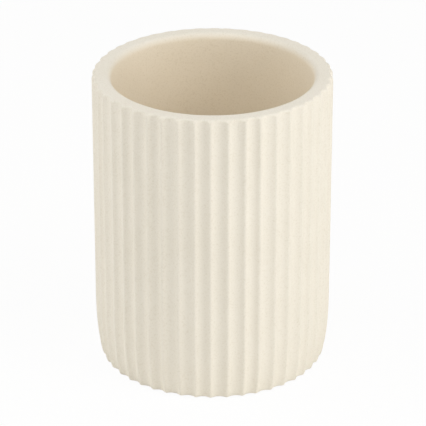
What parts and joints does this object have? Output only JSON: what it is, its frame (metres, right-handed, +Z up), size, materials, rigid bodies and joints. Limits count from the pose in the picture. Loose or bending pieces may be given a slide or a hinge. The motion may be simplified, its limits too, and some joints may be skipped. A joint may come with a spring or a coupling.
{
  "type": "bathroom tumbler",
  "caption": "Round fluted tumbler for toothbrushes or rinsing, cast in matt cream resin, with a smooth inside, rounded rim and a non-slip pad under the base.",
  "frame": {"origin": "middle of the pad's underside, where the tumbler rests", "axes": "+Z up along the cup's axis, -Y towards the viewer of the picture, with a ridge between two flutes facing -Y"},
  "size_m": [0.0778, 0.078, 0.1],
  "materials": {
    "cast_resin": "matte",
    "pad_foam": "matte",
    "adhesive_film": "satin"
  },
  "bodies": {
    "root": {"tumbler_body": "cast_resin", "base_pad": "pad_foam", "pad_adhesive": "adhesive_film"}
  },
  "joints": []
}
